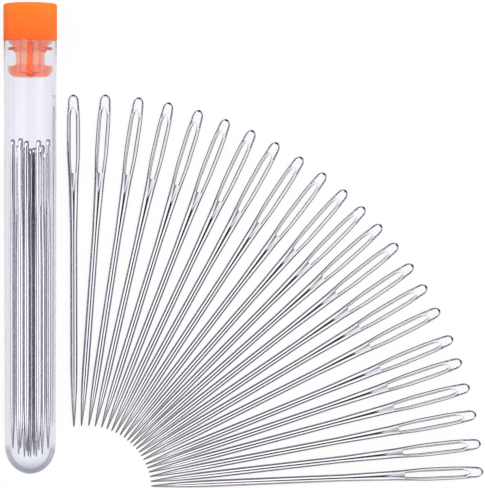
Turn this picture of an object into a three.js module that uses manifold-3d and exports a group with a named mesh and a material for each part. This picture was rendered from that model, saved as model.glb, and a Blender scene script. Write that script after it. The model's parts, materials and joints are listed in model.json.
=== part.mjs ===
// Large-eye sewing needles: a bundle in a clear round-bottomed tube with a push-in stopper,
// and a fan of loose needles laid out beside the tube on the same surface.
// Millimetres and degrees, +Z up. The tube lies along Y with its stopper towards +Y.
import * as THREE from 'three';
import { mergeVertices, toCreasedNormals } from 'three/addons/utils/BufferGeometryUtils.js';
import Module from 'manifold-3d';

const wasm = await Module();
wasm.setup();

// Needle sizes. A needle is drawn wire: pointed at one end, pressed flat and wide at the other,
// with a long eye through the flat and a V gutter that leads the thread out of the eye on each face.
const LONG_NEEDLE = {
  length: 60,
  shankDiameter: 1.3,
  pointLength: 12,
  headWidth: 2.37,
  headThickness: 1.05,
  crownLength: 5.8, // the head draws in over this length
  endWidth: 1.73, // to about this width
  endLength: 1.2, // and closes in a round end of this length
  endRound: 0.6, // keeping its thickness up to here
  eyeFromEnd: 2.25, // metal between the end of the head and the eye
  eyeLength: 11.9,
  eyeWidth: 1.0,
  eyeFootWidth: 0.72,
  shoulderAboveFoot: 4.8, // the head is full width from here up
  openingBelowFoot: 1.7, // it opens out round the eye from here
  footWidth: 1.86, // the wire has swelled to about this at the foot of the eye
  neckBelowFoot: 11.2, // and is plain from here down
  gutterLength: 4.0,
  gutterWidth: 0.66,
  gutterDepth: 0.2,
  scoopWidth: 1.2,
  scoopLead: 1.5, // the scoop above the eye starts this far below the top of the eye
  scoopRim: 0.3, // and leaves this much of the end
  scoopLow: 0.1, // the level of its floor above the middle of the needle
  scoopHigh: 0.45,
};
const SHORT_NEEDLE = {
  length: 55.5,
  shankDiameter: 1.0,
  pointLength: 10,
  headWidth: 1.9,
  headThickness: 0.85,
  crownLength: 5.0,
  endWidth: 1.4,
  endLength: 1.0,
  endRound: 0.5,
  eyeFromEnd: 2.0,
  eyeLength: 10.4,
  eyeWidth: 0.8,
  eyeFootWidth: 0.58,
  shoulderAboveFoot: 4.2,
  openingBelowFoot: 1.5,
  footWidth: 1.45,
  neckBelowFoot: 9.8,
  gutterLength: 3.5,
  gutterWidth: 0.53,
  gutterDepth: 0.16,
  scoopWidth: 0.96,
  scoopLead: 1.3,
  scoopRim: 0.25,
  scoopLow: 0.08,
  scoopHigh: 0.36,
};
const CROWN_CURVE = 1.6; // how long the crown stays wide: 1 is a straight taper
const EYE_FOOT_TAPER = 2; // the eye draws in over this many eye widths at its foot
const EYE_TOP_TAPER = 3; // and closes over this many at its top
const GUTTER_RUNOUT = 0.05; // the gutter's thin end stands this far clear of the face

// The bundle in the tube: heads on edge, heaped so that each needle lies in the valley of two below it.
const BUNDLE_ROWS = [
  { level: -1, pointToBowl: 0.6, columns: [-0.5, 0.5] },
  { level: 0, pointToBowl: 1, columns: [-3, -2, -1, 0, 1, 2, 3] },
  { level: 1, pointToBowl: 2.3, columns: [-1.5, -0.5, 1.5] },
];
const BUNDLE_GAP = 0.066; // between neighbours in a row
const BUNDLE_CLEARANCE = 0.15; // between one row and the next
const BUNDLE_TWIST = 10; // the most that a needle is turned on its own axis
const BUNDLE_STAGGER = 0.8; // the most that a needle stands above the others in its row
const BUNDLE_SINK = 0.5; // the widest row lies this far below the axis of the tube
const BUNDLE_TO_BORE = 0.15;

// The tube, a little wider at the mouth than at the bottom so that it leaves its mould.
const TUBE_LENGTH = 77.5;
const TUBE_WALL = 0.63;
const TUBE_DRAFT = 0.2; // growth of the radius from the bowl to the mouth
const BOWL_HEIGHT = 5.05;
const BOWL_WALL = 0.95; // thickness at the very bottom

// The stopper: a knurled head over the rim and a hollow plug with two thin fins in the bore.
const CAP_OVERHANG = 0.08; // the head stands this far proud of the tube
const CAP_HEIGHT = 6.6;
const CAP_CHAMFER = 0.3;
const RIB_COUNT = 54;
const RIB_DEPTH = 0.14;
const SEAT_GAP = 0.05; // under the head, on the rim
const PLUG_CLEARANCE = 0.08; // round the fins, in the bore
const PLUG_LENGTH = 6.5;
const PLUG_TIP_RADIUS = 2.7;
const STEM_RADIUS = 2.6;
const COLLAR_FOOT_RADIUS = 3.2;
const COLLAR_DEPTH = 1.07;
const UPPER_FIN_DEPTH = 1.36; // from the rim down to the flat top of each fin
const UPPER_FIN_HEIGHT = 1.5;
const LOWER_FIN_DEPTH = 4.62;
const FIN_LIP = 0.28;
const CAP_WALL = 0.85;
const CORE_RADIUS = 3.4; // the hollow in the head
const WEB_THICKNESS = 0.83;

// The fan: each heading is the way that a needle points from its point to its eye, from +X round to +Y.
const FAN_HEADINGS = [
  90.1, 85.8, 81.25, 77.1, 72.8, 68.8, 64.8, 60.9, 56.8, 52.75, 48.8, 45.2,
  41.65, 38.05, 34.3, 30.65, 26.75, 22.3, 18.7, 14.85, 10.8, 6.55, 2.45,
];
const HEAD_TO_SHANK = 0.02; // where a loose needle is parted at its neck into two solids
const FAN_GAP = 0.065; // between neighbouring needles where they are closest
const FAN_TO_TUBE = 1.6; // from the stopper to the head of the first needle
const FAN_BELOW_TUBE = 3.42; // the centre of the fan lies this far past the bottom of the tube
const FAN_LEAD = 2; // the points run this far ahead of their headings round the fan
const FAN_OPENING_LEAD = 8.6; // and the first few needles are opened this much more
const FAN_OPENED = 7; // needles over which that dies away

// Facets. The bends are shares of the stretch that they divide.
const NEEDLE_SIDES = 8;
const POINT_BENDS = [0, 0.3, 1];
const NECK_BENDS = [0.6, 1];
const CROWN_BENDS = [0, 0.5, 0.82, 0.96, 1];
const ROUND_SIDES = 32;
const ARC_STEPS = 5;
const EYE_STEPS = 3;
const MERGE_DISTANCE = 1e-5;
const CREASE_ANGLE = THREE.MathUtils.degToRad(35);

const steel = new THREE.MeshStandardMaterial({ color: 0xd4d5dc, roughness: 0.14, metalness: 1 });
const clearPlastic = new THREE.MeshStandardMaterial({
  color: 0xe4e8f4,
  roughness: 0.06,
  metalness: 0,
  transparent: true,
  opacity: 0.3,
});
const orangePlastic = new THREE.MeshStandardMaterial({ color: 0xff7a1a, roughness: 0.4, metalness: 0 });

const { clamp, degToRad, lerp, smoothstep } = THREE.MathUtils;

// Solids

// A closed mesh as a solid that can be joined and cut.
function toSolid(geometry) {
  const bare = geometry.clone();
  bare.deleteAttribute('normal');
  bare.deleteAttribute('uv');
  const merged = mergeVertices(bare, MERGE_DISTANCE);
  const corners = merged.index.array;
  const triangles = [];
  for (let i = 0; i < corners.length; i += 3) {
    const [a, b, c] = corners.slice(i, i + 3);
    if (a !== b && b !== c && c !== a) triangles.push(a, b, c);
  }
  const mesh = new wasm.Mesh({
    numProp: 3,
    vertProperties: new Float32Array(merged.attributes.position.array),
    triVerts: new Uint32Array(triangles),
  });
  return new wasm.Manifold(mesh);
}

// A finished solid as geometry, with its edges kept crisp.
function toGeometry(solid) {
  const mesh = solid.getMesh();
  const geometry = new THREE.BufferGeometry();
  geometry.setAttribute('position', new THREE.BufferAttribute(mesh.vertProperties, 3));
  geometry.setIndex(new THREE.BufferAttribute(mesh.triVerts, 1));
  return toCreasedNormals(geometry, CREASE_ANGLE);
}

// Points on a quarter or more of an ellipse, angles in degrees from +X.
function ellipseArc(centreX, centreY, radiusX, radiusY, from, to) {
  const points = [];
  for (let i = 0; i <= ARC_STEPS; i += 1) {
    const angle = degToRad(from + ((to - from) * i) / ARC_STEPS);
    points.push(new THREE.Vector2(centreX + radiusX * Math.cos(angle), centreY + radiusY * Math.sin(angle)));
  }
  return points;
}

function corner(x, y) {
  return new THREE.Vector2(x, y);
}

// Needle

// Where the parts of a needle lie along it, from the point.
function needleStations(size) {
  const eyeTop = size.length - size.eyeFromEnd;
  const eyeFoot = eyeTop - size.eyeLength;
  return {
    eyeTop,
    eyeFoot,
    neck: eyeFoot - size.neckBelowFoot,
    opening: eyeFoot - size.openingBelowFoot,
    shoulder: eyeFoot + size.shoulderAboveFoot,
    crown: size.length - size.crownLength,
  };
}

// How far a round end of a given length has closed at a distance from its tip: 1 is not at all.
function endRounding(fromTip, length) {
  const into = clamp(1 - fromTip / length, 0, 1);
  return Math.sqrt(1 - into ** 2);
}

// Half the width and half the thickness of the blank at a distance along it from the point.
function needleSection(size, along) {
  const at = needleStations(size);
  const shank = size.shankDiameter / 2;
  const swelling = clamp((along - at.neck) / (at.eyeFoot - at.neck), 0, 1);
  const opening = smoothstep(along, at.opening, at.shoulder);
  const spread = swelling * (size.footWidth / 2 - shank) + opening * (size.headWidth - size.footWidth) / 2;
  const pressed = (swelling + opening) / 2;
  const toPoint = Math.min(along / size.pointLength, 1);
  const sharpening = 1 - (1 - toPoint) ** 2;
  const intoCrown = clamp((along - at.crown) / size.crownLength, 0, 1);
  const drawnIn = lerp(shank + spread, size.endWidth / 2, intoCrown ** CROWN_CURVE);
  return {
    halfWidth: sharpening * drawnIn * endRounding(size.length - along, size.endLength),
    halfThickness:
      sharpening * lerp(shank, size.headThickness / 2, pressed) * endRounding(size.length - along, size.endRound),
  };
}

function within(start, end, shares) {
  return shares.map((share) => lerp(start, end, share));
}

// The places along a needle where its outline bends: on the wire up to the neck, and on the head above it.
function shankBends(size) {
  return [...within(0, size.pointLength, POINT_BENDS), needleStations(size).neck];
}

function headBends(size) {
  const { neck, shoulder, crown } = needleStations(size);
  return [...within(neck, shoulder, NECK_BENDS), ...within(crown, size.length, CROWN_BENDS)];
}

// The blank: round wire turned to a point, then pressed flat towards the head.
function needleBlank(size, bends) {
  const profile = [
    corner(0, bends[0]),
    ...bends.map((along) => corner(needleSection(size, along).halfWidth, along)),
    corner(0, bends[bends.length - 1]),
  ];
  const blank = new THREE.LatheGeometry(profile, NEEDLE_SIDES);
  const position = blank.attributes.position;
  for (let i = 0; i < position.count; i += 1) {
    const { halfWidth, halfThickness } = needleSection(size, position.getY(i));
    if (halfWidth > 0) position.setZ(i, (position.getZ(i) * halfThickness) / halfWidth);
  }
  return toSolid(blank);
}

// The eye: straight sides that close to a rounded top and draw in to a flat foot.
function eyeCutter(size) {
  const { eyeFoot, eyeTop } = needleStations(size);
  const half = size.eyeWidth / 2;
  const foot = size.eyeFootWidth / 2;
  const footBend = eyeFoot + EYE_FOOT_TAPER * size.eyeWidth;
  const topBend = eyeTop - EYE_TOP_TAPER * size.eyeWidth;
  const topPull = eyeTop - size.eyeWidth;
  const outline = new THREE.Shape();
  outline.moveTo(-foot, eyeFoot);
  outline.lineTo(foot, eyeFoot);
  outline.lineTo(half, footBend);
  outline.lineTo(half, topBend);
  outline.bezierCurveTo(half, topPull, half / 2, eyeTop, 0, eyeTop);
  outline.bezierCurveTo(-half / 2, eyeTop, -half, topPull, -half, topBend);
  outline.lineTo(-half, footBend);
  outline.closePath();
  const depth = 2 * size.headThickness;
  const cutter = new THREE.ExtrudeGeometry(outline, { depth, bevelEnabled: false, curveSegments: EYE_STEPS });
  return toSolid(cutter.translate(0, 0, -depth / 2));
}

// The gutter: a V in the upper face, full size at the foot of the eye and running out below it.
function gutterCutter(size) {
  const { eyeFoot } = needleStations(size);
  const startHeight = needleSection(size, eyeFoot).halfThickness;
  const endHeight = needleSection(size, eyeFoot - size.gutterLength).halfThickness;
  const gutter = new THREE.ConeGeometry(1, size.gutterLength, 4);
  gutter.translate(0, size.gutterLength / 2, 0);
  gutter.scale(size.gutterWidth / 2, 1, size.gutterDepth);
  gutter.rotateX(Math.atan2(endHeight + GUTTER_RUNOUT - startHeight, size.gutterLength));
  return gutter.rotateZ(Math.PI).translate(0, eyeFoot, startHeight);
}

// The scoop: a flat in the upper face that rises from the top of the eye to the end of the head.
function scoopCutter(size) {
  const { eyeTop } = needleStations(size);
  const start = eyeTop - size.scoopLead;
  const run = size.length - size.scoopRim - start;
  const scoop = new THREE.BoxGeometry(size.scoopWidth, run, size.headThickness);
  scoop.translate(0, run / 2, size.headThickness / 2);
  scoop.rotateX(Math.atan2(size.scoopHigh - size.scoopLow, run));
  return scoop.translate(0, start, size.scoopLow);
}

// A blank with its eye, and with a gutter and a scoop at the ends of the eye on both faces.
function pierced(blank, size) {
  let needle = blank.subtract(eyeCutter(size));
  for (const cutter of [gutterCutter(size), scoopCutter(size)]) {
    needle = needle.subtract(toSolid(cutter));
    needle = needle.subtract(toSolid(cutter.rotateY(Math.PI)));
  }
  return toGeometry(needle);
}

function wholeNeedle(size) {
  return pierced(needleBlank(size, [...shankBends(size), ...headBends(size)]), size);
}

// A needle in two solids that part at the neck, where the wire starts to flatten.
function partedNeedle(size) {
  const headFoot = needleStations(size).neck + HEAD_TO_SHANK;
  return {
    head: pierced(needleBlank(size, [headFoot, ...headBends(size)]), size),
    shank: toGeometry(needleBlank(size, shankBends(size))),
  };
}

// Bundle

const shortHead = {
  halfWidth: SHORT_NEEDLE.headWidth / 2,
  halfThickness: SHORT_NEEDLE.headThickness / 2,
  shank: SHORT_NEEDLE.shankDiameter / 2,
};

// The farthest that a head turned by an angle reaches along its thickness.
function headReach(angle) {
  const across = Math.hypot(shortHead.halfThickness * Math.cos(angle), shortHead.halfWidth * Math.sin(angle));
  return Math.max(across, shortHead.shank);
}

const headAcross = headReach(degToRad(BUNDLE_TWIST));
const headUpright = Math.max(shortHead.halfWidth, shortHead.shank);
const columnPitch = 2 * headAcross + BUNDLE_GAP;

// How far a head sinks between two heads of the row below, taken as ellipses that touch.
const valleyShare = Math.min(1, columnPitch / 2 / (2 * headAcross));
const valleyRise = 2 * headUpright * Math.sqrt(1 - valleyShare ** 2);
const rowPitch = Math.max(valleyRise, headUpright) + BUNDLE_CLEARANCE;

// Each needle of the bundle: where it stands in the bore, how it is turned and how far it stands out.
const bundle = BUNDLE_ROWS.flatMap(({ level, pointToBowl, columns }) =>
  columns.map((column) => ({
    x: column * columnPitch,
    z: level * rowPitch - BUNDLE_SINK,
    twist: degToRad(BUNDLE_TWIST) * Math.sin(2 * column + level),
    aboveBowl: pointToBowl + BUNDLE_STAGGER * Math.cos(3 * column + level) ** 2,
  })),
);

// The farthest point of a needle's head from the axis of the tube.
function reachFromAxis({ x, z }) {
  const reaches = ellipseArc(Math.abs(x), Math.abs(z), headAcross, headUpright, 0, 90);
  return Math.max(...reaches.map((point) => point.length()));
}

// Tube

const boreAtBowl = Math.max(...bundle.map(reachFromAxis)) + BUNDLE_TO_BORE;
const boreAtMouth = boreAtBowl + TUBE_DRAFT;
const tubeAtBowl = boreAtBowl + TUBE_WALL;
const tubeAtMouth = boreAtMouth + TUBE_WALL;
const bowlDepth = BOWL_HEIGHT - BOWL_WALL;

function makeTube() {
  const profile = [
    ...ellipseArc(0, BOWL_HEIGHT, tubeAtBowl, BOWL_HEIGHT, -90, 0),
    corner(tubeAtMouth, TUBE_LENGTH),
    corner(boreAtMouth, TUBE_LENGTH),
    ...ellipseArc(0, BOWL_HEIGHT, boreAtBowl, bowlDepth, 0, -90),
  ];
  return new THREE.LatheGeometry(profile, ROUND_SIDES);
}

// How far up the tube the inside of the bowl lies at a distance from the axis.
function bowlFloor(offAxis) {
  return BOWL_HEIGHT - bowlDepth * Math.sqrt(1 - (offAxis / boreAtBowl) ** 2);
}

// Stopper

const capRadius = tubeAtMouth + CAP_OVERHANG;

// The head: every other line of its wall is drawn in, which leaves the ribs standing.
function capHead() {
  const profile = [
    corner(0, 0),
    corner(capRadius, 0),
    corner(capRadius, CAP_HEIGHT - CAP_CHAMFER),
    corner(capRadius - CAP_CHAMFER, CAP_HEIGHT),
    corner(0, CAP_HEIGHT),
  ];
  const head = new THREE.LatheGeometry(profile, 2 * RIB_COUNT);
  const position = head.attributes.position;
  const drawnIn = (capRadius - RIB_DEPTH) / capRadius;
  for (let line = 1; line < 2 * RIB_COUNT; line += 2) {
    for (const wallPoint of [1, 2]) {
      const i = line * profile.length + wallPoint;
      position.setX(i, position.getX(i) * drawnIn);
      position.setZ(i, position.getZ(i) * drawnIn);
    }
  }
  return head;
}

// The plug: a collar under the head, a fin that flares out of the stem, and a bowl-shaped fin at its tip.
function capPlug() {
  const fin = boreAtMouth - PLUG_CLEARANCE;
  const lowerLip = -LOWER_FIN_DEPTH - FIN_LIP;
  const flareFoot = -UPPER_FIN_DEPTH - UPPER_FIN_HEIGHT;
  const flareTop = -UPPER_FIN_DEPTH - FIN_LIP;
  const bowl = ellipseArc(PLUG_TIP_RADIUS, lowerLip, fin - PLUG_TIP_RADIUS, PLUG_LENGTH + lowerLip, -90, 0);
  const flare = ellipseArc(fin, flareFoot, fin - STEM_RADIUS, flareTop - flareFoot, 180, 90);
  const collarWidth = fin - COLLAR_FOOT_RADIUS;
  const collar = ellipseArc(COLLAR_FOOT_RADIUS, 0, collarWidth, COLLAR_DEPTH, -90, 0);
  const profile = [
    corner(0, -PLUG_LENGTH),
    ...bowl,
    corner(fin, -LOWER_FIN_DEPTH),
    corner(STEM_RADIUS, -LOWER_FIN_DEPTH),
    ...flare,
    corner(fin, -UPPER_FIN_DEPTH),
    corner(COLLAR_FOOT_RADIUS, -UPPER_FIN_DEPTH),
    ...collar,
    corner(fin, CAP_WALL / 2),
    corner(0, CAP_WALL / 2),
  ];
  return new THREE.LatheGeometry(profile, ROUND_SIDES);
}

// The hollow, open at the end of the head and closed at the tip of the plug.
function capHollow() {
  const narrow = STEM_RADIUS - CAP_WALL;
  const profile = [
    corner(0, -PLUG_LENGTH + CAP_WALL),
    corner(narrow, -PLUG_LENGTH + CAP_WALL),
    corner(narrow, CAP_WALL),
    corner(CORE_RADIUS, CAP_WALL),
    corner(CORE_RADIUS, CAP_HEIGHT + CAP_WALL),
    corner(0, CAP_HEIGHT + CAP_WALL),
  ];
  return new THREE.LatheGeometry(profile, ROUND_SIDES);
}

// The web that stiffens the plug across the hollow.
function capWeb() {
  const height = PLUG_LENGTH;
  const web = new THREE.BoxGeometry(WEB_THICKNESS, height, 2 * STEM_RADIUS - CAP_WALL);
  return web.translate(0, CAP_WALL / 2 - height / 2, 0);
}

function makeCap() {
  const shell = toSolid(capHead()).add(toSolid(capPlug())).subtract(toSolid(capHollow()));
  return toGeometry(shell.add(toSolid(capWeb())));
}

// Set

function named(name, geometry, material) {
  const mesh = new THREE.Mesh(geometry, material);
  mesh.name = name;
  return mesh;
}

function numbered(name, index) {
  return `${name}_${String(index + 1).padStart(2, '0')}`;
}

// The shut tube lies on its side, carried by the stopper's head.
function tubeGroup() {
  const group = new THREE.Group();
  group.position.z = capRadius;
  group.add(named('tube', makeTube(), clearPlastic));
  const cap = named('cap', makeCap(), orangePlastic);
  cap.position.y = TUBE_LENGTH + SEAT_GAP;
  group.add(cap);
  const geometry = wholeNeedle(SHORT_NEEDLE);
  bundle.forEach(({ x, z, twist, aboveBowl }, index) => {
    const needle = named(numbered('tube_needle', index), geometry, steel);
    needle.position.set(x, bowlFloor(Math.hypot(x, z)) + aboveBowl, z);
    needle.rotation.y = Math.PI / 2 + twist;
    group.add(needle);
  });
  return group;
}

// The least radius of the circle of points at which neighbours a step apart clear each other.
function pointCircleRadius(step) {
  const { shankDiameter, pointLength } = LONG_NEEDLE;
  const crowding = (pointLength ** 2 * step) / (4 * shankDiameter);
  return (shankDiameter + FAN_GAP) / step - pointLength + crowding;
}

function fanGroup() {
  const steps = FAN_HEADINGS.slice(1).map((heading, i) => FAN_HEADINGS[i] - heading);
  const radius = pointCircleRadius(degToRad(Math.min(...steps)));
  const points = FAN_HEADINGS.map((heading, i) => {
    const opening = FAN_OPENING_LEAD * Math.max(0, 1 - i / FAN_OPENED) ** 2;
    const angle = degToRad(heading + FAN_LEAD + opening);
    return corner(radius * Math.cos(angle), radius * Math.sin(angle));
  });
  const group = new THREE.Group();
  const firstAxis = capRadius + FAN_TO_TUBE + LONG_NEEDLE.headWidth / 2;
  group.position.set(firstAxis - points[0].x, -FAN_BELOW_TUBE, LONG_NEEDLE.shankDiameter / 2);
  const { head, shank } = partedNeedle(LONG_NEEDLE);
  FAN_HEADINGS.forEach((heading, index) => {
    const name = numbered('fan_needle', index);
    const needle = new THREE.Group();
    needle.add(named(`${name}_shank`, shank, steel), named(`${name}_head`, head, steel));
    needle.position.set(points[index].x, points[index].y, 0);
    needle.rotation.z = degToRad(heading - 90);
    group.add(needle);
  });
  return group;
}

// The whole set, with its origin under the middle of the space that it takes up.
const set = new THREE.Group();
const layout = new THREE.Group();
layout.add(tubeGroup(), fanGroup());
set.add(layout);
set.updateMatrixWorld(true);
const space = new THREE.Box3().setFromObject(layout, true);
layout.position.set(-(space.min.x + space.max.x) / 2, -(space.min.y + space.max.y) / 2, -space.min.z);

export default set;
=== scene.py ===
"""Large-eye sewing needles: a bundle in a clear stoppered tube, and a fan of loose needles beside it.

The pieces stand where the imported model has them. Lengths are in millimetres until a mesh is made,
and every Blender object is in metres.
"""

import json
import math

import bmesh
import bpy
from mathutils import Matrix, Vector

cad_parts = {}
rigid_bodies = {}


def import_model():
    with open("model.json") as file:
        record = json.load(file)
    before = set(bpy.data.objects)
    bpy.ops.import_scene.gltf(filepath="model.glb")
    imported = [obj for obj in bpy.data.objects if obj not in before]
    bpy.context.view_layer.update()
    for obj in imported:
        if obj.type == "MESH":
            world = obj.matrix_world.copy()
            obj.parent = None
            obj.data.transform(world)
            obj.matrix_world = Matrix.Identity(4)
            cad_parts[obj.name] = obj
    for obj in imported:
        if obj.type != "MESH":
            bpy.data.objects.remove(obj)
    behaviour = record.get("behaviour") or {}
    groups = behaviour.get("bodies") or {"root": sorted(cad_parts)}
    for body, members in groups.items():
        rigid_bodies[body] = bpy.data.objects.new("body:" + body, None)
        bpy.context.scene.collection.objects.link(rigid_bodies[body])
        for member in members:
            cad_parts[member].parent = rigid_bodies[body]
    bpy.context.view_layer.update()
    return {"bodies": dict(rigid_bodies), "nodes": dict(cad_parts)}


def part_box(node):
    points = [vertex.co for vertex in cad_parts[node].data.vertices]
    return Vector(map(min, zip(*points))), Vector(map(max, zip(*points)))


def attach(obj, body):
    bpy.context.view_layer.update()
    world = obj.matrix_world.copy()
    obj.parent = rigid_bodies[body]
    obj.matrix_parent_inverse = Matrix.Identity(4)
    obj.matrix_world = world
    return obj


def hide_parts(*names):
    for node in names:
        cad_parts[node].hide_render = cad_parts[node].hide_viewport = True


MM = 0.001

# Photograph
PHOTO_WIDTH = 485
PHOTO_HEIGHT = 488
MM_PER_PIXEL = 0.18045  # at the level of the loose needles
PHOTO_CENTRE = (-0.3, 0.427)  # where the middle of the picture falls on the set
CAMERA_HEIGHT = 550
SENSOR = 36
CLIP_NEAR = 0.01  # metres
CLIP_FAR = 20

# Needles: the sizes of the solids that they stand for, with finer rounds and scoops
LONG_NEEDLE = {
    "length": 60,
    "shank_diameter": 1.3,
    "point_length": 12,
    "point_round": 0.2,
    "head_width": 2.37,
    "head_thickness": 1.05,
    "crown_length": 5.8,
    "end_width": 1.73,
    "end_length": 1.2,
    "end_chamfer": 0.38,
    "eye_from_end": 2.25,
    "eye_length": 11.9,
    "eye_width": 1.0,
    "eye_foot_width": 0.72,
    "shoulder_above_foot": 4.8,
    "opening_below_foot": 1.7,
    "foot_width": 1.86,
    "neck_below_foot": 11.2,
    "gutter_length": 4.0,
    "gutter_width": 0.9,
    "scoop_rim": 0.3,
    # painted shade: the rails round the eye are darkened in the steel's colour
    "rail_tone": 0.8,
    "plating": ((0.46, 0.455, 0.49), (0.53, 0.525, 0.56)),
}
SHORT_NEEDLE = {
    "length": 55.5,
    "shank_diameter": 1.0,
    "point_length": 10,
    "point_round": 0.2,
    "head_width": 1.9,
    "head_thickness": 0.85,
    "crown_length": 5.0,
    "end_width": 1.4,
    "end_length": 1.0,
    "end_chamfer": 0.3,
    "eye_from_end": 2.0,
    "eye_length": 10.4,
    "eye_width": 0.8,
    "eye_foot_width": 0.58,
    "shoulder_above_foot": 4.2,
    "opening_below_foot": 1.5,
    "foot_width": 1.45,
    "neck_below_foot": 9.8,
    "gutter_length": 3.5,
    "gutter_width": 0.7,
    "scoop_rim": 0.25,
    # no painted shade on the rails of these
    "rail_tone": 1.0,
    "plating": ((0.69, 0.68, 0.71), (0.78, 0.77, 0.8)),
}
POINT_BLUNTNESS = 0.16  # the point's share of the shank
CROWN_CURVE = 1.6  # how long the crown stays wide: 1 is a straight taper
END_THINNING = 0.54  # share of the thickness that the chamfer takes from the end
END_SHARPNESS = 12  # of the edge that is left: 2 is a round end
WIRE_FLATNESS = 2  # the section of the wire: 2 is an ellipse, more is flatter
HEAD_FLATNESS = 3  # and of the pressed head
COINED_EDGE = 0.5  # the coined edge of the head leaves this share of its thickness
COINED_TILT = 38  # degrees that it slopes
GUTTER_TILT = 12  # degrees that each wall of the gutter leans to its middle
EYE_TOP_LEAST = 0.3  # share of the eye's width that is left at its very top
EYE_TOP_TAPER = 2.4  # the eye closes over this many eye widths
EYE_FOOT_TAPER = 3  # and draws in over this many at its foot
EYE_EDGE = 0.29  # the rounded edge between a face and the wall of the eye, in eye widths
EYE_END_ROUND = 0.12  # the length of the corner between the wall of the eye and its ends
SCOOP_LOWEST = 0.2  # the scoop over the eye: its level at the eye, in half thicknesses of the head
SCOOP_HIGHEST = 1  # and at the end of the head
SCOOP_LEAD = 1.5  # how far below the top of the eye it starts
SCOOP_WALL = 60  # degrees that its side walls slope
ARC_POINTS = 25  # on the outside of each rail
FACE_STEPS = 4  # across a face, from a rail to the gutter
GUTTER_STEPS = 3  # and from there to the middle of the gutter
EDGE_POINTS = 4  # round the edge of the eye
WALL_POINTS = 3  # down the wall of the eye
CREASE = 15  # degrees from which an edge shows as a crease
FACE_SHARE = 0.7  # the two faces of a section take at most this share of its width
BEND_LEAST = 0.1  # a face bends where the gutter starts, or else between these shares of its own half width
BEND_MOST = 0.9
EYE_EDGE_DEPTH = 0.6  # the most that the edge of the eye is rounded, in half heights of the rail
POINT_RINGS = 16  # sections along the point, closer together at its tip
POINT_FIRST_RING = 0.1
POINT_CROWDING = 3
SHANK_RINGS = 6
GUTTER_RINGS = 8
RAIL_RINGS = 13
EYE_TOP_RINGS = 10
CROWN_RINGS = 14
END_RINGS = 14  # along the chamfer, closer together at the very end
END_FIRST_RING = 0.05
END_LAST_RING = 0.95
END_CROWDING = 2

# Tube
TUBE_WALL = 0.63
TUBE_DRAFT = 0.2
BOWL_HEIGHT = 5.05
BOWL_WALL = 0.95
RIM_ROUND = 0.12
TUBE_SIDES = 96
BOWL_STEPS = 16
WALL_STEPS = 12
ROUND_STEPS = 3  # round a small edge
SAME_POINT = 1e-4  # points of a turned piece that are closer than this become one
LEAST_EDGE = 1e-5  # and its edges shorter than this are dissolved

# Stopper
CAP_HEIGHT = 6.6
CAP_ROUND = 0.32
CAP_ROUND_STEPS = 5
CAP_FOOT_ROUND = 0.12
RIB_COUNT = 54
RIB_DEPTH = 0.14
RIB_STEPS = 8
RIB_SHARPNESS = 1.5  # of the valleys: 1 is a plain wave
WALL_RINGS = (0.3, 0.6)  # sections up the ribbed wall, in shares of the height
PLUG_CLEARANCE = 0.08
PLUG_LENGTH = 6.5
PLUG_TIP_RADIUS = 2.7
STEM_RADIUS = 2.6
COLLAR_FOOT_RADIUS = 3.2
COLLAR_DEPTH = 1.07
UPPER_FIN_DEPTH = 1.36
UPPER_FIN_HEIGHT = 1.5
LOWER_FIN_DEPTH = 4.62
FIN_LIP = 0.28
LOWER_LIP_FROM = 20  # degrees above level, where the round lip of each fin starts
UPPER_LIP_FROM = -60
CAP_WALL = 0.85
CORE_RADIUS = 3.4
WEB_THICKNESS = 0.83
WEB_ROUND = 0.1
WEB_ROUND_PROFILE = 0.5  # 0.5 is a round edge
ARC_STEPS = 8

# Finishes: a grain has its grains per metre, its stretch along each axis and its detail; a bump has its
# depth in millimetres and its strength
EVEN = (1, 1, 1)
NO_TINT = (1, 1, 1)
PAINTED_POINT_SHADE = 0.12  # painted shade: the steel's colour is darkened towards the tip of the point and at the very end of the head, where the needle looks dark
POINT_SHADE_LENGTH = 5  # from the tip
# painted shade at the very end of the head
PAINTED_END_SHADE = 0.2
WIRE_GRAIN = (30000, (1, 0.004, 1), 4)
WIRE_ROUGHNESS = (0.05, 0.1)
STAMPED_ROUGHNESS = 0.08  # comes on top of it at the head
WIRE_EDGE_TINT = (0.12, 0.12, 0.14, 1)
WIRE_BUMP = (0.001, 0.15)
CLEAR_GRAIN = (180, (1, 0.25, 1), 2)
CLEAR_COLOUR = (0.99, 0.99, 1.0)
CLEAR_ROUGHNESS = (0, 0.03)
CLEAR_IOR = 1.28
CLEAR_BUMP = (0.02, 0.1)
CAST_DENSITY = 300  # of the clear plastic, per metre
CAST_COLOUR = (0.567, 0.583, 0.733, 1)
TUBE_END_SHADE_COLOUR = (0.7, 0.715, 0.78)  # painted shade: a grey tint at the closed end of the tube
TUBE_END_SHADE_LENGTH = 3.4
BOWL_EDGE_SHADE_COLOUR = (0.36, 0.365, 0.41)  # painted shade: a grey tint on the bowl's thick wall, where it is seen edge on
BOWL_EDGE_SHADE_FROM = 0.3  # how far it turns away from the eye: 1 is edge on
BOWL_EDGE_SHADE_TO = 0.45
BOWL_EDGE_SHADE_FADE = 1.5  # the length over which this ends, where the straight wall starts
HEAD_COLOURS = ((1.0, 0.14, 0.004), (1.0, 0.22, 0.006))  # of the stopper's head, at its foot and its end
HEAD_GRAIN = (9000, EVEN, 4)
HEAD_ROUGHNESS = (0.32, 0.48)
HEAD_SPECULAR = 0.2
HEAD_SUBSURFACE = 0.15
HEAD_SUBSURFACE_RADIUS = (1.0, 0.35, 0.1)
HEAD_SUBSURFACE_SCALE = 0.8
HEAD_BUMP = (0.01, 0.2)
PLUG_COLOURS = ((1.0, 0.74, 0.64), (1.0, 0.8, 0.7))
PLUG_GRAIN = (2500, EVEN, 4)
PLUG_ROUGHNESS = (0.05, 0.15)
PLUG_TRANSMISSION = 0.94
PLUG_IOR = 1.03
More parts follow.
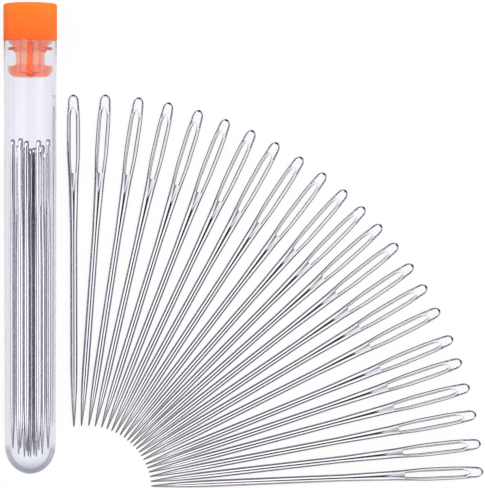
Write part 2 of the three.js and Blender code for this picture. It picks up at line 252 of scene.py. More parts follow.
PLUG_DENSITY = 290  # of the stopper's thin plastic, per metre
PLUG_DEPTH_COLOUR = (1, 0.36, 0.08, 1)
WEB_COLOURS = ((0.78, 0.17, 0.0), (0.86, 0.2, 0.002))
WEB_GRAIN = (4000, EVEN, 4)
WEB_ROUGHNESS = (0.3, 0.5)

# Light, with lengths in metres: a lamp and a pale sky fall on the set. A dome of bright panels and dark
# flags round it shows only in metal and plastic. Its angles are degrees from straight up.
WHITE = (1, 1, 1, 1)
LAMP_FROM = (0.8, 0.7, 1.6)
LAMP_SIZE = 0.8
LAMP_POWER = 14
SKY_STRENGTH = 0.8
DOME_RADIUS = 3.0
DOME_ROWS = 9  # points down and round each patch of it
DOME_COLUMNS = 33
DOME_TOP = 0.01
HORIZON = 90
DARK_FOOT = 84  # where its dark foot ends, which plastic leaves out with all below
DOME = (  # from +X round to +Y, then bands downwards: each to this angle, with this strength
    ((80, 172), ((18, 0), (65, 2.2), (DARK_FOOT, 0), (HORIZON, 1))),
    ((172, 274), ((14, 0), (65, 2.0), (DARK_FOOT, 0), (HORIZON, 1))),
    ((274, 370), ((18, 0), (30, 0.6), (70, 2.2), (DARK_FOOT, 0), (HORIZON, 1))),
    ((370, 440), ((8, 0), (30, 0.6), (40, 1.8), (DARK_FOOT, 0), (HORIZON, 1))),
)
FLOOR_RADIUS = 1.2
FLOOR_SIDES = 96
FLOOR_COLOUR = (0.96, 0.96, 0.96, 1)
FLOOR_WHITE = 0.9  # share of the floor that shows as plain white; the rest takes light and shadow
FLOOR_WHITE_IN_METAL = 0.1
FLOOR_WHITE_THROUGH_PLASTIC = 0.85


# Meshes


def add_object(name, data):
    """A new object in the scene."""
    piece = bpy.data.objects.new(name, data)
    bpy.context.scene.collection.objects.link(piece)
    return piece


def shade_smooth(mesh):
    for polygon in mesh.polygons:
        polygon.use_smooth = True


def add_piece(name, mesh, materials):
    """A smooth-shaded object with its materials."""
    shade_smooth(mesh)
    for material in materials:
        mesh.materials.append(material)
    return add_object(name, mesh)


def mesh_from(name, points, faces):
    """A mesh in metres from points in millimetres, with its faces pointing out."""
    mesh = bpy.data.meshes.new(name)
    mesh.from_pydata([Vector(point) * MM for point in points], [], faces)
    shape = bmesh.new()
    shape.from_mesh(mesh)
    bmesh.ops.recalc_face_normals(shape, faces=shape.faces)
    shape.to_mesh(mesh)
    shape.free()
    return mesh


def share_between(value, low, high):
    """How far a value lies from low to high: 0 up to low, 1 from high on."""
    return min(1.0, max(0.0, (value - low) / (high - low)))


def smoothstep(value, low, high):
    share = share_between(value, low, high)
    return share * share * (3 - 2 * share)


def mix(first, second, share):
    return first + (second - first) * share


def spread(start, end, count):
    """Evenly spaced values from start to end, both included."""
    return [mix(start, end, i / (count - 1)) for i in range(count)]


def ellipse_arc(centre_x, centre_y, radius_x, radius_y, start, end, steps=ARC_STEPS):
    """Points on an ellipse, angles in degrees from +X."""
    angles = [math.radians(angle) for angle in spread(start, end, steps + 1)]
    return [(centre_x + radius_x * math.cos(a), centre_y + radius_y * math.sin(a)) for a in angles]


def round_arc(centre_x, centre_y, radius, start, end, steps=ARC_STEPS):
    return ellipse_arc(centre_x, centre_y, radius, radius, start, end, steps)


def straight(start, end, count):
    """Evenly spaced points from start to end, both included."""
    return [(mix(start[0], end[0], share), mix(start[1], end[1], share)) for share in spread(0, 1, count)]


# Needle


def needle_stations(size):
    """Where the parts of a needle lie along it, from the point."""
    eye_top = size["length"] - size["eye_from_end"]
    eye_foot = eye_top - size["eye_length"]
    return {
        "eye_top": eye_top,
        "eye_foot": eye_foot,
        "neck": eye_foot - size["neck_below_foot"],
        "opening": eye_foot - size["opening_below_foot"],
        "shoulder": eye_foot + size["shoulder_above_foot"],
        "crown": size["length"] - size["crown_length"],
    }


def needle_section(size, along):
    """Half the width and thickness of a needle at a distance from its point, and how far it is pressed."""
    at = needle_stations(size)
    length = size["length"]
    shank = size["shank_diameter"] / 2
    sharpening = mix(POINT_BLUNTNESS, 1, 1 - (1 - share_between(along, 0, size["point_length"])) ** 2)
    sharpening *= math.sqrt(share_between(along, 0, size["point_round"]))
    swelling = share_between(along, at["neck"], at["eye_foot"])
    opening = smoothstep(along, at["opening"], at["shoulder"])
    half_width = mix(shank, size["foot_width"] / 2, swelling)
    half_width += opening * (size["head_width"] - size["foot_width"]) / 2
    into_crown = share_between(along, at["crown"], length) ** CROWN_CURVE
    half_width = mix(half_width, size["end_width"] / 2, into_crown)
    half_width *= math.sqrt(1 - share_between(along, length - size["end_length"], length) ** 2)
    half_thickness = mix(shank, size["head_thickness"] / 2, (swelling + opening) / 2)
    into_end = share_between(along, length - size["end_chamfer"], length)
    half_thickness *= (1 - END_THINNING * into_end) * math.sqrt(1 - into_end**END_SHARPNESS)
    return sharpening * half_width, sharpening * half_thickness, opening


def eye_half_width(size, along):
    """Half the width of the eye: drawn in at its foot, straight, and closing to a round top."""
    at = needle_stations(size)
    half = size["eye_width"] / 2
    foot = size["eye_foot_width"] / 2
    widening = smoothstep(along, at["eye_foot"], at["eye_foot"] + EYE_FOOT_TAPER * size["eye_width"])
    into_top = max(0.0, 1 - (at["eye_top"] - along) / (EYE_TOP_TAPER * size["eye_width"]))
    closing = max(EYE_TOP_LEAST, math.sqrt(max(0.0, 1 - into_top**2)))
    return mix(foot, half, widening) * closing


def face_height(size, along, across):
    """The height of the plain face of the needle, before the gutter and the scoop."""
    half_width, half_thickness, pressed = needle_section(size, along)
    flatness = mix(WIRE_FLATNESS, HEAD_FLATNESS, pressed)
    rounded = half_thickness * max(0.0, 1 - (abs(across) / half_width) ** flatness) ** (1 / flatness)
    coined = COINED_EDGE * half_thickness + (half_width - abs(across)) * math.tan(math.radians(COINED_TILT))
    return mix(rounded, min(rounded, coined), pressed)


def gutter_half_width(size, along):
    foot = needle_stations(size)["eye_foot"]
    return share_between(along, foot - size["gutter_length"], foot) * size["gutter_width"] / 2


def gutter_level(size, along, across):
    """The height of the walls of the V gutter that leads down from the eye."""
    half = gutter_half_width(size, along)
    if along > needle_stations(size)["eye_foot"] or abs(across) > half:
        return size["head_thickness"]
    return face_height(size, along, half) - (half - abs(across)) * math.tan(math.radians(GUTTER_TILT))


def scoop_level(size, along, across):
    """The height of the scoop over the eye: a sloping floor, and a steep wall on each side."""
    eye_top = needle_stations(size)["eye_top"]
    half = size["head_thickness"] / 2
    if along < eye_top:
        floor = half * mix(SCOOP_LOWEST, 1, (eye_top - along) / SCOOP_LEAD)
    else:
        scoop_length = size["eye_from_end"] - size["scoop_rim"]
        floor = half * mix(SCOOP_LOWEST, SCOOP_HIGHEST, (along - eye_top) / scoop_length)
    past_floor = abs(across) - needle_section(size, along)[0] + size["scoop_rim"]
    return floor + max(0.0, past_floor) * math.tan(math.radians(SCOOP_WALL))


def needle_ring(size, along, open_half):
    """One section of the needle: its two outer arcs, and its two faces between them."""
    half_width = needle_section(size, along)[0]
    edge = min(open_half, FACE_SHARE * half_width)

    def height(x):
        return min(face_height(size, along, x), gutter_level(size, along, x), scoop_level(size, along, x))

    start = math.acos(edge / half_width)
    across = [half_width * math.cos(angle) for angle in spread(start, 0, ARC_POINTS // 2 + 1)]
    upper = [(x, along, height(x)) for x in across]
    right = upper + [(x, along, -z) for x, _, z in upper[-2::-1]]
    bend = min(max(gutter_half_width(size, along), BEND_LEAST * edge), BEND_MOST * edge)
    half_face = spread(0, bend, GUTTER_STEPS + 1) + spread(bend, edge, FACE_STEPS + 1)[1:-1]
    face = [(x, along, height(x)) for x in [-x for x in half_face[:0:-1]] + half_face]
    return {
        "right": right,
        "left": [(-x, along, -z) for x, _, z in right],
        "top": face,
        "bottom": [(-x, along, -z) for x, _, z in face],
    }


class NeedleMesh:
    """Collects the points and faces of one needle."""

    def __init__(self, size):
        self.size = size
        self.points = []
        self.faces = []

    def add(self, points):
        first = len(self.points)
        self.points.extend(points)
        return list(range(first, len(self.points)))

    def strip(self, first, second, closed=False):
        """Quads between two rows of as many points."""
        count = len(first)
        for i in range(count if closed else count - 1):
            j = (i + 1) % count
            self.faces.append((first[i], first[j], second[j], second[i]))

    def solid_ring(self, along, open_half):
        ring = needle_ring(self.size, along, open_half)
        return {part: self.add(points) for part, points in ring.items()}

    def solid_loop(self, ring):
        return ring["top"] + ring["right"] + ring["bottom"] + ring["left"]

    def eye_ring(self, along):
        """The two rails, each an outer arc, the rounded edges of the eye and its wall."""
        half = eye_half_width(self.size, along)
        edge = EYE_EDGE * self.size["eye_width"]
        ring = needle_ring(self.size, along, half + edge)
        rails = {}
        for side, sign in (("right", 1), ("left", -1)):
            top = abs(ring[side][0][2])
            across = abs(ring[side][0][0]) - half
            drop = min(edge, EYE_EDGE_DEPTH * top)
            rounded = ellipse_arc(half + across, top - drop, across, drop, 90, 180, EDGE_POINTS)[1:]
            inner = rounded + [(half, z) for z in spread(top - drop, drop - top, WALL_POINTS + 2)[1:-1]]
            inner += [(x, -z) for x, z in rounded[::-1]]
            rails[side] = self.add(ring[side])
            rails[side + "_wall"] = self.add([(sign * x, along, -sign * z) for x, z in inner])
        return rails

    def close_eye(self, ring, rails):
        """An end of the eye, between the last full section and the nearest pair of rails."""
        along = self.points[ring["top"][0]][1]
        self.strip(ring["right"], rails["right"])
        self.strip(ring["left"], rails["left"])
        right_wall = rails["right_wall"][::-1]
        left_wall = rails["left_wall"]
        top_row = [ring["left"][-1], *ring["top"], ring["right"][0]]
        bottom_row = [ring["left"][0], *ring["bottom"][::-1], ring["right"][-1]]
        rows = [top_row]
        rail_top = self.points[rails["right"][0]][2]
        for left, right in zip(left_wall, right_wall):
            level = self.points[right][2] / rail_top
            narrowing = self.points[right][0] / self.points[top_row[-1]][0]
            row = []
            for corner in top_row[1:-1]:
                x, _, z = self.points[corner]
                row.append((narrowing * x, along, level * z))
            rows.append([left, *self.add(row), right])
        rows.append(bottom_row)
        for first, second in zip(rows, rows[1:]):
            self.strip(first, second)
        for side, corner, wall in (
            ("left", -1, left_wall[0]),
            ("right", 0, right_wall[0]),
            ("left", 0, left_wall[-1]),
            ("right", -1, right_wall[-1]),
        ):
            self.faces.append((ring[side][corner], rails[side][corner], wall))

    def join_rails(self, first, second):
        for side in ("right", "left"):
            loop = first[side] + first[side + "_wall"]
            next_loop = second[side] + second[side + "_wall"]
            self.strip(loop, next_loop, closed=True)

    def cap_end(self, ring, tip):
        (apex,) = self.add([tip])
        loop = self.solid_loop(ring)
        for i, point in enumerate(loop):
            self.faces.append((point, loop[(i + 1) % len(loop)], apex))


def solid_run(needle, stations):
    """Full sections at each station, joined; returns the first and the last of them."""
    size = needle.size
    at = needle_stations(size)
    rings = []
    for along in stations:
        nearest = min(max(along, at["eye_foot"]), at["eye_top"])
        open_half = eye_half_width(size, nearest) + EYE_EDGE * size["eye_width"]
        if along > at["eye_top"]:
            open_half = size["eye_width"] / 2
        rings.append(needle.solid_ring(along, open_half))
    for first, second in zip(rings, rings[1:]):
        needle.strip(needle.solid_loop(first), needle.solid_loop(second), closed=True)
    return rings[0], rings[-1]


def needle_mesh(name, size):
    """A whole needle along +Y from its point at the origin, its width along X."""
    at = needle_stations(size)
    needle = NeedleMesh(size)
    gutter_foot = at["eye_foot"] - size["gutter_length"]
    below = [
        size["point_length"] * share**POINT_CROWDING for share in spread(POINT_FIRST_RING, 1, POINT_RINGS)
    ]
    below += spread(at["neck"], gutter_foot, SHANK_RINGS)
    below += spread(gutter_foot, at["eye_foot"], GUTTER_RINGS)[1:]
    first, foot = solid_run(needle, below)
    needle.cap_end(first, (0, 0, 0))
    eye = spread(at["eye_foot"] + EYE_END_ROUND, at["crown"], RAIL_RINGS)
    eye += spread(at["crown"], at["eye_top"] - EYE_END_ROUND, EYE_TOP_RINGS)[1:]
    rails = [needle.eye_ring(along) for along in eye]
    for one, other in zip(rails, rails[1:]):
        needle.join_rails(one, other)
    needle.close_eye(foot, rails[0])
    above = spread(at["eye_top"], size["length"] - size["end_chamfer"], CROWN_RINGS)
    above += [
        size["length"] - size["end_chamfer"] * (1 - share) ** END_CROWDING
        for share in spread(END_FIRST_RING, END_LAST_RING, END_RINGS)
    ]
    top, last = solid_run(needle, above)
    needle.close_eye(top, rails[-1])
    needle.cap_end(last, (0, size["length"], 0))
    mesh = mesh_from(name, needle.points, needle.faces)
    shade_smooth(mesh)
    mesh.set_sharp_from_angle(angle=math.radians(CREASE))
    return mesh


def needle_place(nodes):
    """The place of a needle from its solids: its point, the way it runs and the way its head is wide."""
    corners = [vertex.co for node in nodes for vertex in frame["nodes"][node].data.vertices]
    middle = sum(corners, Vector()) / len(corners)
    one_end = max(corners, key=lambda corner: (corner - middle).length)
    other_end = max(corners, key=lambda corner: (corner - one_end).length)
    run = (other_end - one_end).normalized()

    def off_axis(corner):
        offset = corner - one_end
        return offset - run * offset.dot(run)

    widest = max(corners, key=lambda corner: off_axis(corner).length)
    point, head = one_end, other_end
    if (widest - one_end).length < (widest - other_end).length:
        point, head = other_end, one_end
    along = (head - point).normalized()
    across = off_axis(widest).normalized()
    up = across.cross(along)
    if up.z < 0:
        across, up = -across, -up
    place = Matrix((across, along, up)).transposed().to_4x4()
    place.translation = point
    return place


def add_needles(prefix, mesh, parts):
    """One needle for each body whose name starts so, standing for its solids."""
    for body in sorted(frame["bodies"]):
        if not body.startswith(prefix):
            continue
        nodes = [body + part for part in parts]
        piece = add_object(body + "_steel", mesh)
        piece.matrix_world = needle_place(nodes)
        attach(piece, body)
        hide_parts(*nodes)


# Tube and stopper


def turned_mesh(name, profile, sides, radius_at=None):
    """A profile of (radius, along) points, from the axis back to the axis, turned round the Y axis."""
    points = []
    for i in range(sides):
        angle = 2 * math.pi * i / sides
        for number, (radius, along) in enumerate(profile):
            reach = radius if radius_at is None else radius_at(number, radius, angle)
            points.append((reach * math.sin(angle), along, reach * math.cos(angle)))
    count = len(profile)
    faces = []
    for i in range(sides):
        j = (i + 1) % sides
        for k in range(count - 1):
            faces.append((i * count + k, i * count + k + 1, j * count + k + 1, j * count + k))
    mesh = mesh_from(name, points, faces)
    shape = bmesh.new()
    shape.from_mesh(mesh)
    bmesh.ops.remove_doubles(shape, verts=shape.verts, dist=SAME_POINT * MM)
    bmesh.ops.dissolve_degenerate(shape, edges=shape.edges, dist=LEAST_EDGE * MM)
    bmesh.ops.recalc_face_normals(shape, faces=shape.faces)
    shape.to_mesh(mesh)
    shape.free()
    return mesh


def add_tube():
    """The clear tube: a drafted wall, a round rim and a bowl for its bottom."""
    low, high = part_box("tube")
    mouth = (high.x - low.x) / 2 / MM
    length = (high.y - low.y) / MM
    bowl = mouth - TUBE_DRAFT
    bore_mouth = mouth - TUBE_WALL
    bore_bowl = bowl - TUBE_WALL
    rim_foot = length - RIM_ROUND
    outside = ellipse_arc(0, BOWL_HEIGHT, bowl, BOWL_HEIGHT, -90, 0, BOWL_STEPS)
    outside += straight((bowl, BOWL_HEIGHT), (mouth, rim_foot), WALL_STEPS)
    rim = round_arc(mouth - RIM_ROUND, rim_foot, RIM_ROUND, 0, 90, ROUND_STEPS)[1:]
    rim += round_arc(bore_mouth + RIM_ROUND, rim_foot, RIM_ROUND, 90, 180, ROUND_STEPS)
    inside = straight((bore_mouth, rim_foot), (bore_bowl, BOWL_HEIGHT), WALL_STEPS)[1:]
    inside += ellipse_arc(0, BOWL_HEIGHT, bore_bowl, BOWL_HEIGHT - BOWL_WALL, 0, -90, BOWL_STEPS)[1:]
    mesh = turned_mesh("tube_clear", outside + rim + inside, TUBE_SIDES)
    tube = add_piece("tube_clear", mesh, [clear_plastic()])
    tube.location = ((low.x + high.x) / 2, low.y, (low.z + high.z) / 2)
    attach(tube, "tube")
    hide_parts("tube")
    tube.visible_shadow = False


def plug_profile(fin):
    """The outside of the plug from the middle of its tip up to the head."""
    lower_lip = -LOWER_FIN_DEPTH - FIN_LIP
    flare_foot = -UPPER_FIN_DEPTH - UPPER_FIN_HEIGHT
    flare_top = -UPPER_FIN_DEPTH - FIN_LIP
    bowl_width = fin - PLUG_TIP_RADIUS
    outline = [(0, -PLUG_LENGTH)]
    outline += ellipse_arc(PLUG_TIP_RADIUS, lower_lip, bowl_width, PLUG_LENGTH + lower_lip, -90, 0)
    outline += round_arc(fin - FIN_LIP, lower_lip, FIN_LIP, LOWER_LIP_FROM, 90)
    outline += [(STEM_RADIUS + FIN_LIP, -LOWER_FIN_DEPTH), (STEM_RADIUS, -LOWER_FIN_DEPTH + FIN_LIP)]
    outline += ellipse_arc(fin, flare_foot, fin - STEM_RADIUS, flare_top - flare_foot, 180, 90)[:-1]
    outline += round_arc(fin - FIN_LIP, flare_top, FIN_LIP, UPPER_LIP_FROM, 90)
    outline += [(COLLAR_FOOT_RADIUS, -UPPER_FIN_DEPTH)]
    outline += ellipse_arc(COLLAR_FOOT_RADIUS, 0, fin - COLLAR_FOOT_RADIUS, COLLAR_DEPTH, -90, 0)
    return outline


def add_cap():
    """The stopper: one turned shell, ribbed on its head, and a web inside its plug."""
    low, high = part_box("cap")
    radius = (high.x - low.x) / 2 / MM
    tube_low, tube_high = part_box("tube")
    fin = (tube_high.x - tube_low.x) / 2 / MM - TUBE_WALL - PLUG_CLEARANCE
    narrow = STEM_RADIUS - CAP_WALL
    outline = plug_profile(fin)
    wall_from = len(outline)
    outline += round_arc(radius - CAP_FOOT_ROUND, CAP_FOOT_ROUND, CAP_FOOT_ROUND, -90, 0, ROUND_STEPS)
    outline += [(radius, CAP_HEIGHT * share) for share in WALL_RINGS]
    top = CAP_HEIGHT - CAP_ROUND
    outline += round_arc(radius - CAP_ROUND, top, CAP_ROUND, 0, 90, CAP_ROUND_STEPS)
    wall_to = len(outline) - 2
    outline += [(CORE_RADIUS + CAP_FOOT_ROUND, CAP_HEIGHT), (CORE_RADIUS, CAP_HEIGHT - CAP_FOOT_ROUND)]
    outline += [(CORE_RADIUS, CAP_WALL + CAP_FOOT_ROUND), (CORE_RADIUS - CAP_FOOT_ROUND, CAP_WALL)]
    outline += [(narrow + CAP_FOOT_ROUND, CAP_WALL), (narrow, CAP_WALL - CAP_FOOT_ROUND)]
    outline += [(narrow, CAP_WALL - PLUG_LENGTH), (0, CAP_WALL - PLUG_LENGTH)]

    def ribbed(number, reach, angle):
        if not wall_from <= number <= wall_to:
            return reach
        valley = 0.5 - 0.5 * math.cos(RIB_COUNT * angle)
        return reach - RIB_DEPTH * valley**RIB_SHARPNESS

    mesh = turned_mesh("cap_shell", outline, RIB_COUNT * RIB_STEPS, ribbed)
    shell = add_piece("cap_shell", mesh, [orange_head(), orange_plug()])
    for polygon in mesh.polygons:
        polygon.material_index = 0 if polygon.center.y > 0 else 1
    place = Vector(((low.x + high.x) / 2, high.y - CAP_HEIGHT * MM, (low.z + high.z) / 2))
    shell.location = place
    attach(shell, "cap")
    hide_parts("cap")
    web = add_web(place)
    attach(web, "cap")
    for piece in (shell, web):
        piece.visible_glossy = False


def add_web(place):
    """The web across the hollow plug, with rounded edges."""
    mesh = bpy.data.meshes.new("cap_web")
    shape = bmesh.new()
    bmesh.ops.create_cube(shape, size=MM)
    depth = 2 * STEM_RADIUS - CAP_WALL
    bmesh.ops.scale(shape, verts=shape.verts, vec=(WEB_THICKNESS, PLUG_LENGTH - CAP_WALL, depth))
    bmesh.ops.translate(shape, verts=shape.verts, vec=(0, -PLUG_LENGTH / 2 * MM, 0))
    bmesh.ops.bevel(
        shape,
        geom=shape.edges,
        offset=WEB_ROUND * MM,
        segments=ROUND_STEPS,
        profile=WEB_ROUND_PROFILE,
        affect="EDGES",
    )
    shape.to_mesh(mesh)
    shape.free()
    web = add_piece("cap_web", mesh, [orange_web()])
    web.location = place
    return web


# Materials


def shader_nodes(name):
    """A new material, and its node tree and surface shader."""
    material = bpy.data.materials.new(name)
    material.use_nodes = True
    tree = material.node_tree
    surface = tree.nodes["Principled BSDF"]
    return material, tree, surface


def set_inputs(tree, node, inputs):
    """Gives each input of a node its value, or links it to another node's output."""
    for name, value in inputs.items():
        if isinstance(value, bpy.types.NodeSocket):
            tree.links.new(value, node.inputs[name])
        else:
            node.inputs[name].default_value = value


def add_node(tree, kind, inputs=None, **settings):
    node = tree.nodes.new(kind)
    for name, value in settings.items():
        setattr(node, name, value)
    set_inputs(tree, node, inputs or {})
    return node


def calculate(tree, operation, first, second, **settings):
    node = add_node(tree, "ShaderNodeMath", {0: first, 1: second}, operation=operation, **settings)
    return node.outputs["Value"]


def multiply_colours(tree, first, second):
    node = add_node(tree, "ShaderNodeVectorMath", {0: first, 1: second}, operation="MULTIPLY")
    return node.outputs["Vector"]


def along_piece(tree):
    """The distance along the piece, on its own Y axis, in metres."""
    place = add_node(tree, "ShaderNodeTexCoord")
    return add_node(tree, "ShaderNodeSeparateXYZ", {"Vector": place.outputs["Object"]}).outputs["Y"]


def grain(tree, scale, stretch, detail):
    """Noise on the piece's own coordinates."""
    place = add_node(tree, "ShaderNodeTexCoord")
    stretched = add_node(tree, "ShaderNodeMapping", {"Vector": place.outputs["Object"], "Scale": stretch})
    noise = add_node(
        tree,
        "ShaderNodeTexNoise",
        {"Vector": stretched.outputs["Vector"], "Scale": scale, "Detail": detail},
    )
    return noise.outputs["Fac"]


def share_from(tree, value, low, high, interpolation="SMOOTHSTEP"):
    """How far a value lies from low to high: 0 up to low, 1 from high on."""
    share = add_node(
        tree,
        "ShaderNodeMapRange",
        {"Value": value, "From Min": low, "From Max": high},
        interpolation_type=interpolation,
    )
    return share.outputs["Result"]


def number_between(tree, share, low, high):
    scaled = add_node(tree, "ShaderNodeMapRange", {"Value": share, "To Min": low, "To Max": high})
    return scaled.outputs["Result"]


def colour_between(tree, share, low, high):
    blend = add_node(tree, "ShaderNodeMix", {"Factor": share}, data_type="RGBA")
    for socket in blend.inputs:
        if socket.type == "RGBA" and socket.name in ("A", "B"):
            socket.default_value = (*(low if socket.name == "A" else high), 1)
    return next(socket for socket in blend.outputs if socket.type == "RGBA")


def bumped(tree, surface, height, depth, strength):
    raised = {"Height": height, "Distance": depth * MM, "Strength": strength}
    bump = add_node(tree, "ShaderNodeBump", raised)
    tree.links.new(bump.outputs["Normal"], surface.inputs["Normal"])


def absorb(tree, colour, density):
    """Colours the light on its way through the piece."""
    inside = add_node(tree, "ShaderNodeVolumeAbsorption", {"Color": colour, "Density": density})
    tree.links.new(inside.outputs["Volume"], tree.nodes["Material Output"].inputs["Volume"])


def needle_painted_shade(tree, size, along):
    """Painted shade: how far the steel's colour is darkened along the needle, at its point, its rails and
    its end.
    """
    at = needle_stations(size)
    stops = (
        (0, PAINTED_POINT_SHADE),
        (POINT_SHADE_LENGTH, 1),
        (at["eye_foot"] - size["gutter_length"], 1),
        (at["eye_foot"] - size["gutter_length"] / 2, size["rail_tone"]),
        (at["eye_top"] - SCOOP_LEAD, size["rail_tone"]),
        (at["eye_top"], 1),
        (size["length"] - size["end_chamfer"], 1),
        (size["length"] - size["end_chamfer"] / 2, PAINTED_END_SHADE),
    )
    share = share_from(tree, along, 0.0, size["length"] * MM, "LINEAR")
    ramp = add_node(tree, "ShaderNodeValToRGB", {"Fac": share})
    marks = ramp.color_ramp.elements
    while len(marks) < len(stops):
        marks.new(1.0)
    for mark, (distance, tone) in zip(marks, stops):
        mark.position = distance / size["length"]
        mark.color = (tone, tone, tone, 1)
    return ramp.outputs["Color"]


def needle_steel(name, size):
    """Polished nickel-plated steel: fine lines along the wire, and a duller stamped head. Its colour
    carries painted shade at the point, the rails and the end.
    """
    material, tree, surface = shader_nodes(name)
    at = needle_stations(size)
    lines = grain(tree, *WIRE_GRAIN)
    along = along_piece(tree)
    stamped = share_from(tree, along, at["neck"] * MM, at["eye_foot"] * MM)
    polish = number_between(tree, lines, *WIRE_ROUGHNESS)
    dull = number_between(tree, stamped, 0.0, STAMPED_ROUGHNESS)
    plated = colour_between(tree, lines, *size["plating"])
    # painted shade: the plated colour is darkened at the point, the rails and the end
    looks = {
        "Base Color": multiply_colours(tree, plated, needle_painted_shade(tree, size, along)),
        "Roughness": calculate(tree, "ADD", polish, dull),
        "Metallic": 1.0,
        "Specular Tint": WIRE_EDGE_TINT,
    }
    set_inputs(tree, surface, looks)
    bumped(tree, surface, lines, *WIRE_BUMP)
    return material


def shown_outside_mirrors(tree):
    """1, but 0 to a mirror's ray that meets the piece from the air or is on its way through it."""
    rays = add_node(tree, "ShaderNodeLightPath")
    side = add_node(tree, "ShaderNodeNewGeometry")
    from_air = calculate(tree, "SUBTRACT", 1.0, side.outputs["Backfacing"])
    through = calculate(tree, "MAXIMUM", from_air, rays.outputs["Transparent Depth"])
    passed = calculate(tree, "MULTIPLY", through, rays.outputs["Is Glossy Ray"], use_clamp=True)
    return calculate(tree, "SUBTRACT", 1.0, passed)


def clear_plastic():
    """Clear moulded plastic: slow waves from the mould, and a grey-blue cast where light goes far through
    it. Painted shade: a grey tint at its closed end, and on the bowl's thick wall where it is seen edge on.
    The mirrors of the needles look straight through it, as if it were not there.
    """
    material, tree, surface = shader_nodes("clear_plastic")
    waves = grain(tree, *CLEAR_GRAIN)
    along = along_piece(tree)
    # painted shade at the tube's closed end
    past_tube_end_shade = share_from(tree, along, 0.0, TUBE_END_SHADE_LENGTH * MM)
    bowl_ends = (BOWL_HEIGHT + BOWL_EDGE_SHADE_FADE / 2) * MM
    bowl_fades = (BOWL_HEIGHT - BOWL_EDGE_SHADE_FADE / 2) * MM
    bowl = share_from(tree, along, bowl_ends, bowl_fades)
    # painted shade on the bowl's wall where it is seen edge on
    turned = add_node(tree, "ShaderNodeLayerWeight").outputs["Facing"]
    edge_on = share_from(tree, turned, BOWL_EDGE_SHADE_FROM, BOWL_EDGE_SHADE_TO)
    bowl_edge_shade = calculate(tree, "MULTIPLY", bowl, edge_on)
    tube_end_shade_tint = colour_between(tree, past_tube_end_shade, TUBE_END_SHADE_COLOUR, CLEAR_COLOUR)
    bowl_edge_shade_tint = colour_between(tree, bowl_edge_shade, NO_TINT, BOWL_EDGE_SHADE_COLOUR)
    looks = {
        "Base Color": multiply_colours(tree, tube_end_shade_tint, bowl_edge_shade_tint),
        "Roughness": number_between(tree, waves, *CLEAR_ROUGHNESS),
        "Transmission Weight": 1.0,
        "IOR": CLEAR_IOR,
        "Alpha": shown_outside_mirrors(tree),
    }
    set_inputs(tree, surface, looks)
    bumped(tree, surface, waves, *CLEAR_BUMP)
    absorb(tree, CAST_COLOUR, CAST_DENSITY)
    return material


def orange_head():
    """Soft orange moulding, a little paler towards its end."""
    material, tree, surface = shader_nodes("orange_head")
    up = share_from(tree, along_piece(tree), 0.0, CAP_HEIGHT * MM, "LINEAR")
    speckle = grain(tree, *HEAD_GRAIN)
    looks = {
        "Base Color": colour_between(tree, up, *HEAD_COLOURS),
        "Roughness": number_between(tree, speckle, *HEAD_ROUGHNESS),
        "Specular IOR Level": HEAD_SPECULAR,
        "Subsurface Weight": HEAD_SUBSURFACE,
        "Subsurface Radius": HEAD_SUBSURFACE_RADIUS,
        "Subsurface Scale": HEAD_SUBSURFACE_SCALE * MM,
    }
    set_inputs(tree, surface, looks)
    bumped(tree, surface, speckle, *HEAD_BUMP)
    return material


def orange_plug():
    """The same moulding where it is thin: light comes through it and takes its colour."""
    material, tree, surface = shader_nodes("orange_plug")
    speckle = grain(tree, *PLUG_GRAIN)
    looks = {
        "Base Color": colour_between(tree, speckle, *PLUG_COLOURS),
        "Roughness": number_between(tree, speckle, *PLUG_ROUGHNESS),
        "Transmission Weight": PLUG_TRANSMISSION,
        "IOR": PLUG_IOR,
    }
    set_inputs(tree, surface, looks)
    absorb(tree, PLUG_DEPTH_COLOUR, PLUG_DENSITY)
    return material


def orange_web():
    """The web, where the moulding is thick and deep in colour."""
    material, tree, surface = shader_nodes("orange_web")
    speckle = grain(tree, *WEB_GRAIN)
    looks = {
        "Base Color": colour_between(tree, speckle, *WEB_COLOURS),
        "Roughness": number_between(tree, speckle, *WEB_ROUGHNESS),
    }
    set_inputs(tree, surface, looks)
    return material


# Stage


def floor_material():
    """White paper: partly plain white to the eye, so that the shadows on it stay faint."""
    material, tree, surface = shader_nodes("white_floor")
    set_inputs(tree, surface, {"Base Color": FLOOR_COLOUR, "Roughness": 1.0, "Specular IOR Level": 0.0})
    white = add_node(tree, "ShaderNodeEmission", {"Color": WHITE, "Strength": 1.0})
    rays = add_node(tree, "ShaderNodeLightPath")
    share = 0.0
    for ray, amount in (
        ("Is Camera Ray", FLOOR_WHITE),
        ("Is Glossy Ray", FLOOR_WHITE_IN_METAL),
        ("Is Transmission Ray", FLOOR_WHITE_THROUGH_PLASTIC),
    ):
        terms = {0: rays.outputs[ray], 1: amount, 2: share}
        share = add_node(tree, "ShaderNodeMath", terms, operation="MULTIPLY_ADD").outputs["Value"]
    both = add_node(
        tree,
        "ShaderNodeMixShader",
        {"Fac": share, 1: surface.outputs["BSDF"], 2: white.outputs["Emission"]},
    )
    tree.links.new(both.outputs["Shader"], tree.nodes["Material Output"].inputs["Surface"])
    return material


def add_floor():
    mesh = bpy.data.meshes.new("floor")
    shape = bmesh.new()
    bmesh.ops.create_circle(shape, cap_ends=True, radius=FLOOR_RADIUS, segments=FLOOR_SIDES)
    shape.to_mesh(mesh)
    shape.free()
    floor = add_piece("floor", mesh, [floor_material()])


def glow(name, strength):
    """A plain light of one strength; nought is black."""
    material = bpy.data.materials.new(name)
    material.use_nodes = True
    tree = material.node_tree
    tree.nodes.clear()
    light = add_node(tree, "ShaderNodeEmission", {"Color": WHITE, "Strength": strength})
    add_node(tree, "ShaderNodeOutputMaterial", {"Surface": light.outputs["Emission"]})
    return material


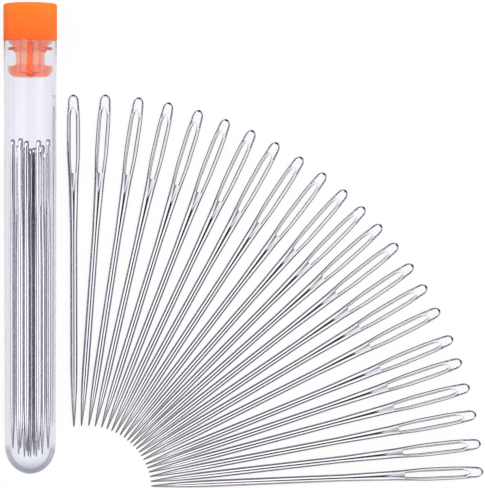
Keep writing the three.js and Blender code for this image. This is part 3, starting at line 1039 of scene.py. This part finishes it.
def dome_patch(name, polar, azimuth, material):
    """A patch of the dome round the set, which only metal and plastic show."""
    rows = [math.radians(angle) for angle in spread(*polar, DOME_ROWS)]
    columns = [math.radians(angle) for angle in spread(*azimuth, DOME_COLUMNS)]
    points = []
    for row in rows:
        for column in columns:
            direction = (math.sin(row) * math.cos(column), math.sin(row) * math.sin(column), math.cos(row))
            points.append(Vector(direction) * DOME_RADIUS)
    width = len(columns)
    faces = []
    for i in range(len(rows) - 1):
        for j in range(width - 1):
            corner = i * width + j
            faces.append((corner, corner + 1, corner + width + 1, corner + width))
    mesh = bpy.data.meshes.new(name)
    mesh.from_pydata(points, [], faces)
    patch = add_piece(name, mesh, [material])
    patch.visible_camera = False
    patch.visible_shadow = False
    patch.visible_diffuse = False
    patch.visible_transmission = polar[1] < DARK_FOOT


def add_lights():
    """The lamp, and the dome of panels and flags."""
    data = bpy.data.lights.new("lamp", "AREA")
    data.shape = "DISK"
    data.size = LAMP_SIZE
    data.energy = LAMP_POWER
    lamp = add_object("lamp", data)
    lamp.location = LAMP_FROM
    lamp.rotation_euler = Vector(LAMP_FROM).to_track_quat("Z", "Y").to_euler()
    lamp.visible_camera = False
    lamp.visible_glossy = False
    for side, (azimuth, bands) in enumerate(DOME, start=1):
        above = DOME_TOP
        for band, (below, strength) in enumerate(bands, start=1):
            name = f"dome_{side}_{band}"
            dome_patch(name, (above, below), azimuth, glow(name, strength))
            above = below


def add_world():
    """A sky that lights the set, and shows as white to the eye and in metal and plastic."""
    world = bpy.data.worlds.new("studio")
    bpy.context.scene.world = world
    world.use_nodes = True
    tree = world.node_tree
    tree.nodes.clear()
    light = add_node(tree, "ShaderNodeBackground", {"Color": WHITE, "Strength": SKY_STRENGTH})
    white = add_node(tree, "ShaderNodeBackground", {"Color": WHITE, "Strength": 1.0})
    rays = add_node(tree, "ShaderNodeLightPath").outputs
    mirrored = calculate(tree, "MAXIMUM", rays["Is Glossy Ray"], rays["Is Transmission Ray"])
    shown = calculate(tree, "MAXIMUM", rays["Is Camera Ray"], mirrored)
    both = add_node(
        tree,
        "ShaderNodeMixShader",
        {"Fac": shown, 1: light.outputs["Background"], 2: white.outputs["Background"]},
    )
    add_node(tree, "ShaderNodeOutputWorld", {"Surface": both.outputs["Shader"]})


def add_camera():
    """Straight above, with the picture's long side filling the sensor."""
    data = bpy.data.cameras.new("camera")
    needle_level = LONG_NEEDLE["shank_diameter"] / 2
    half_frame = MM_PER_PIXEL * max(PHOTO_WIDTH, PHOTO_HEIGHT) / 2
    data.sensor_width = SENSOR
    data.lens = SENSOR / 2 * (CAMERA_HEIGHT - needle_level) / half_frame
    data.clip_start = CLIP_NEAR
    data.clip_end = CLIP_FAR
    camera = add_object("camera", data)
    camera.location = (PHOTO_CENTRE[0] * MM, PHOTO_CENTRE[1] * MM, CAMERA_HEIGHT * MM)
    bpy.context.scene.camera = camera


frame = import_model()
bpy.context.scene.view_settings.view_transform = "Standard"
add_camera()
add_world()
add_floor()
add_lights()

long_mesh = needle_mesh("long_needle", LONG_NEEDLE)
short_mesh = needle_mesh("short_needle", SHORT_NEEDLE)
for needle_shape, needle_size in ((long_mesh, LONG_NEEDLE), (short_mesh, SHORT_NEEDLE)):
    needle_shape.materials.append(needle_steel(needle_shape.name + "_steel", needle_size))
add_needles("fan_needle", long_mesh, ("_shank", "_head"))
add_needles("tube_needle", short_mesh, ("",))
add_tube()
add_cap()
